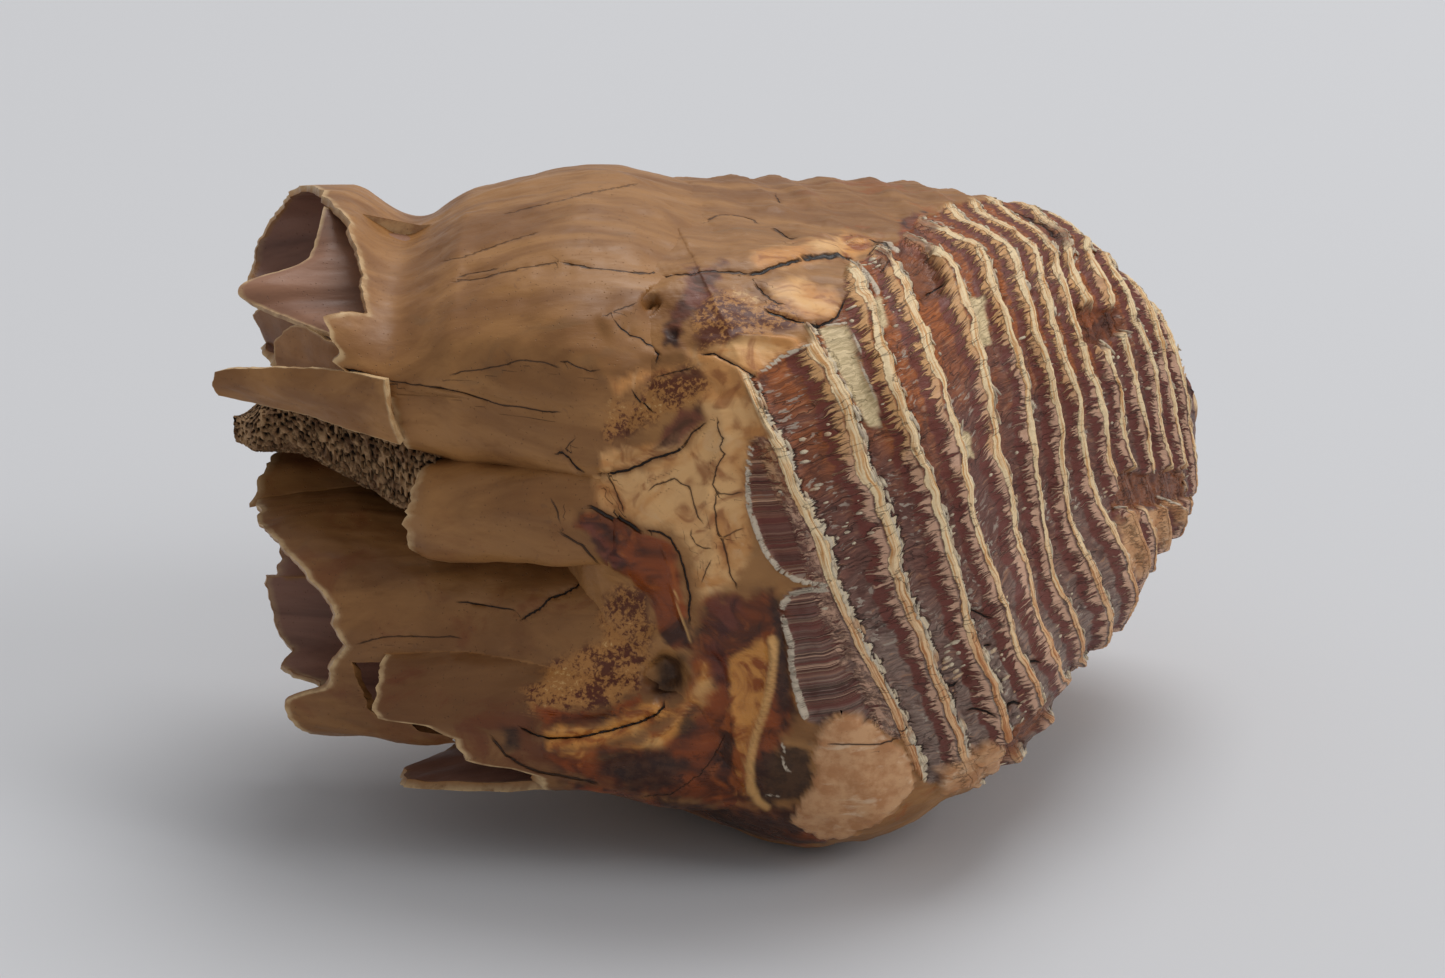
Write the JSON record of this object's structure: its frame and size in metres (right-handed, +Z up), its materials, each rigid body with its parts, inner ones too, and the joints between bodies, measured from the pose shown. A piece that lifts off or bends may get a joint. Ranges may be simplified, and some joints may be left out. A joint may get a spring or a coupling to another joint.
{
  "type": "fossil woolly mammoth tooth",
  "caption": "Fossil woolly mammoth molar lying on its side, with a ridged grinding face, broken hollow roots, a split-off root shard and spongy jaw bone between the roots.",
  "frame": {"origin": "under the middle of the tooth's box, on the surface it lies on", "axes": "+Z up, -X towards the broken root ends, +X towards the hind end of the crown, -Y towards the side where the ridged grinding face begins"},
  "size_m": [0.1822, 0.1318, 0.1083],
  "materials": {
    "tooth": "fossil dentine, enamel and cement in tan, amber, purple-brown and cream, half glossy",
    "root_splinter": "polished tan dentine with a pale broken edge",
    "jaw_bone": "dry open spongy bone, dark in its pores"
  },
  "bodies": {
    "root": {"tooth": "tooth", "root_splinter": "root_splinter", "jaw_bone": "jaw_bone"}
  },
  "joints": []
}
